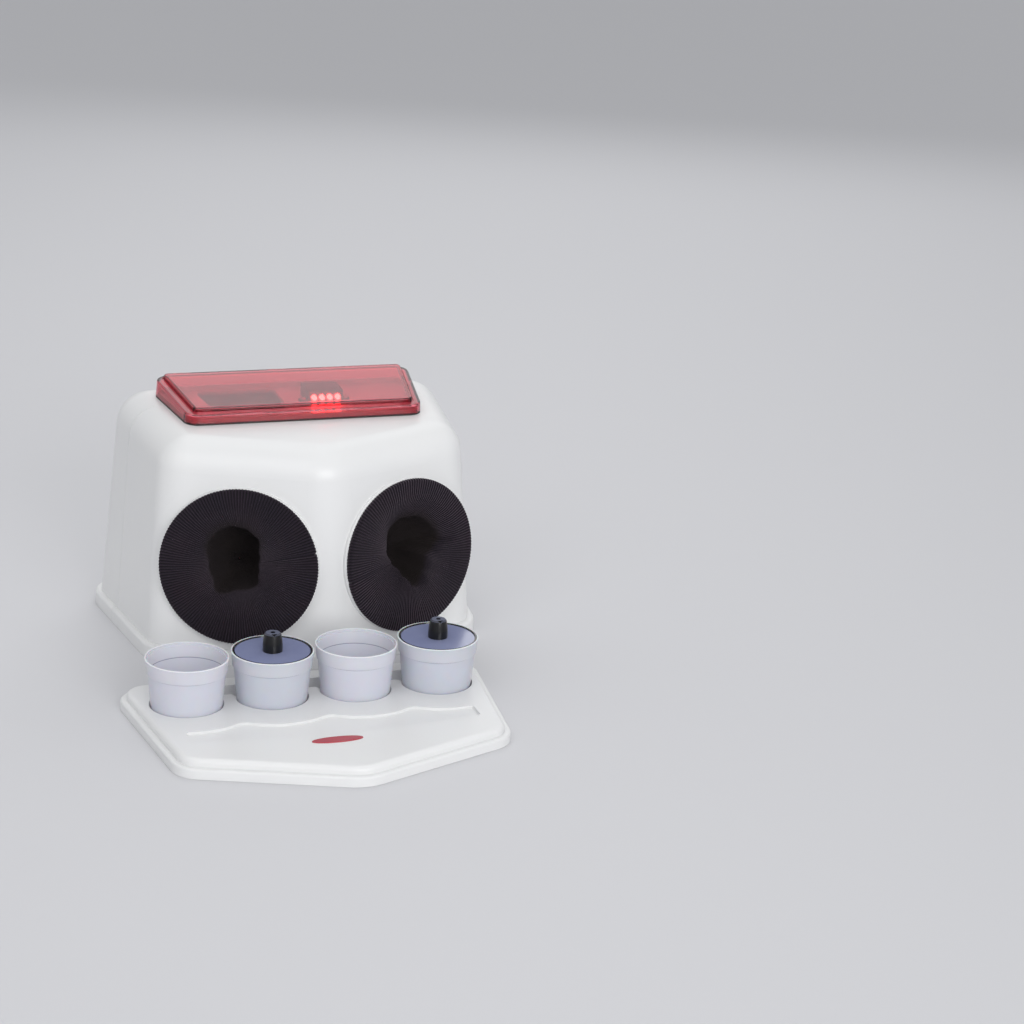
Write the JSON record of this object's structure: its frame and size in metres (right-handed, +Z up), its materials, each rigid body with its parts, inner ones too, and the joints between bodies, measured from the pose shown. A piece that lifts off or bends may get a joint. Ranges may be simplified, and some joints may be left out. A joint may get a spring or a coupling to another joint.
{
  "type": "dental film developing box",
  "caption": "Light-proof hood with a red lit visor and two arm cuffs, beside its tray of lidded developing cups.",
  "frame": {"origin": "centre of the whole object's box, on the bench", "axes": "+X to the right seen from the tray's side, +Y from the tray to the hood, +Z up"},
  "size_m": [0.3985, 0.5341, 0.2439],
  "materials": {
    "white_plastic": "glossy",
    "red_visor": "clear, tinted red",
    "seal_rubber": "matt",
    "cuff_fabric": "stretch knit",
    "black_plastic": "satin",
    "steel": "satin",
    "contact_metal": "bright",
    "cell_jacket": "satin",
    "red_diode": "clear, lit",
    "board": "satin",
    "lead_jacket": "satin",
    "badge_red": "glossy",
    "cup_plastic": "milky, slightly clear",
    "lid_plastic": "glossy",
    "knob_plastic": "glossy"
  },
  "bodies": {
    "hood": {"front_shell": "white_plastic", "rear_cover": "white_plastic", "cover_screws": "steel", "visor_seal": "seal_rubber", "cuff_left": "cuff_fabric", "cuff_right": "cuff_fabric", "hoop_left": "black_plastic", "hoop_right": "black_plastic", "hoop_screws": "steel", "lamp_housing": "black_plastic", "led_board": "board", "leds": "red_diode", "lamp_screws": "steel", "battery_box": "black_plastic", "battery_box_screws": "steel", "battery_cells": "cell_jacket", "battery_springs": "contact_metal", "battery_contacts": "contact_metal", "switch_body": "black_plastic", "lamp_lead": "lead_jacket", "switch_lead": "lead_jacket", "lead_clips": "black_plastic"},
    "visor_cover": {"visor": "red_visor"},
    "door": {"battery_door": "white_plastic"},
    "rocker": {"switch_rocker": "black_plastic"},
    "tray_base": {"tray": "white_plastic", "tray_badge": "badge_red"},
    "cup_1_body": {"cup_1": "cup_plastic"},
    "cup_2_body": {"cup_2": "cup_plastic"},
    "cup_3_body": {"cup_3": "cup_plastic"},
    "cup_4_body": {"cup_4": "cup_plastic"},
    "lid_2_body": {"lid_2": "lid_plastic", "knob_2": "knob_plastic", "knob_screw_2": "steel"},
    "lid_4_body": {"lid_4": "lid_plastic", "knob_4": "knob_plastic", "knob_screw_4": "steel"}
  },
  "joints": [
    {"name": "tray_slide", "type": "slide", "parent": "hood", "child": "tray_base", "axis": [0, -1, 0], "range_m": [0, 0.15]},
    {"name": "visor_lift", "type": "slide", "parent": "hood", "child": "visor_cover", "axis": [0, -0.0698, 0.9976], "range_m": [0, 0.08]},
    {"name": "door_pull", "type": "slide", "parent": "hood", "child": "door", "axis": [0, 0.9976, 0.0698], "range_m": [0, 0.06]},
    {"name": "rocker_tilt", "type": "hinge", "parent": "hood", "child": "rocker", "pos_m": [-0.01454, 0.25374, 0.11196], "axis": [1, 0, 0], "range_deg": [-16, 0]},
    {"name": "cup_1_lift", "type": "slide", "parent": "tray_base", "child": "cup_1_body", "axis": [0, 0, 1], "range_m": [0, 0.08]},
    {"name": "cup_2_lift", "type": "slide", "parent": "tray_base", "child": "cup_2_body", "axis": [0, 0, 1], "range_m": [0, 0.08]},
    {"name": "cup_3_lift", "type": "slide", "parent": "tray_base", "child": "cup_3_body", "axis": [0, 0, 1], "range_m": [0, 0.08]},
    {"name": "cup_4_lift", "type": "slide", "parent": "tray_base", "child": "cup_4_body", "axis": [0, 0, 1], "range_m": [0, 0.08]},
    {"name": "lid_2_lift", "type": "slide", "parent": "cup_2_body", "child": "lid_2_body", "axis": [0, 0, 1], "range_m": [0, 0.06]},
    {"name": "lid_4_lift", "type": "slide", "parent": "cup_4_body", "child": "lid_4_body", "axis": [0, 0, 1], "range_m": [0, 0.06]}
  ]
}
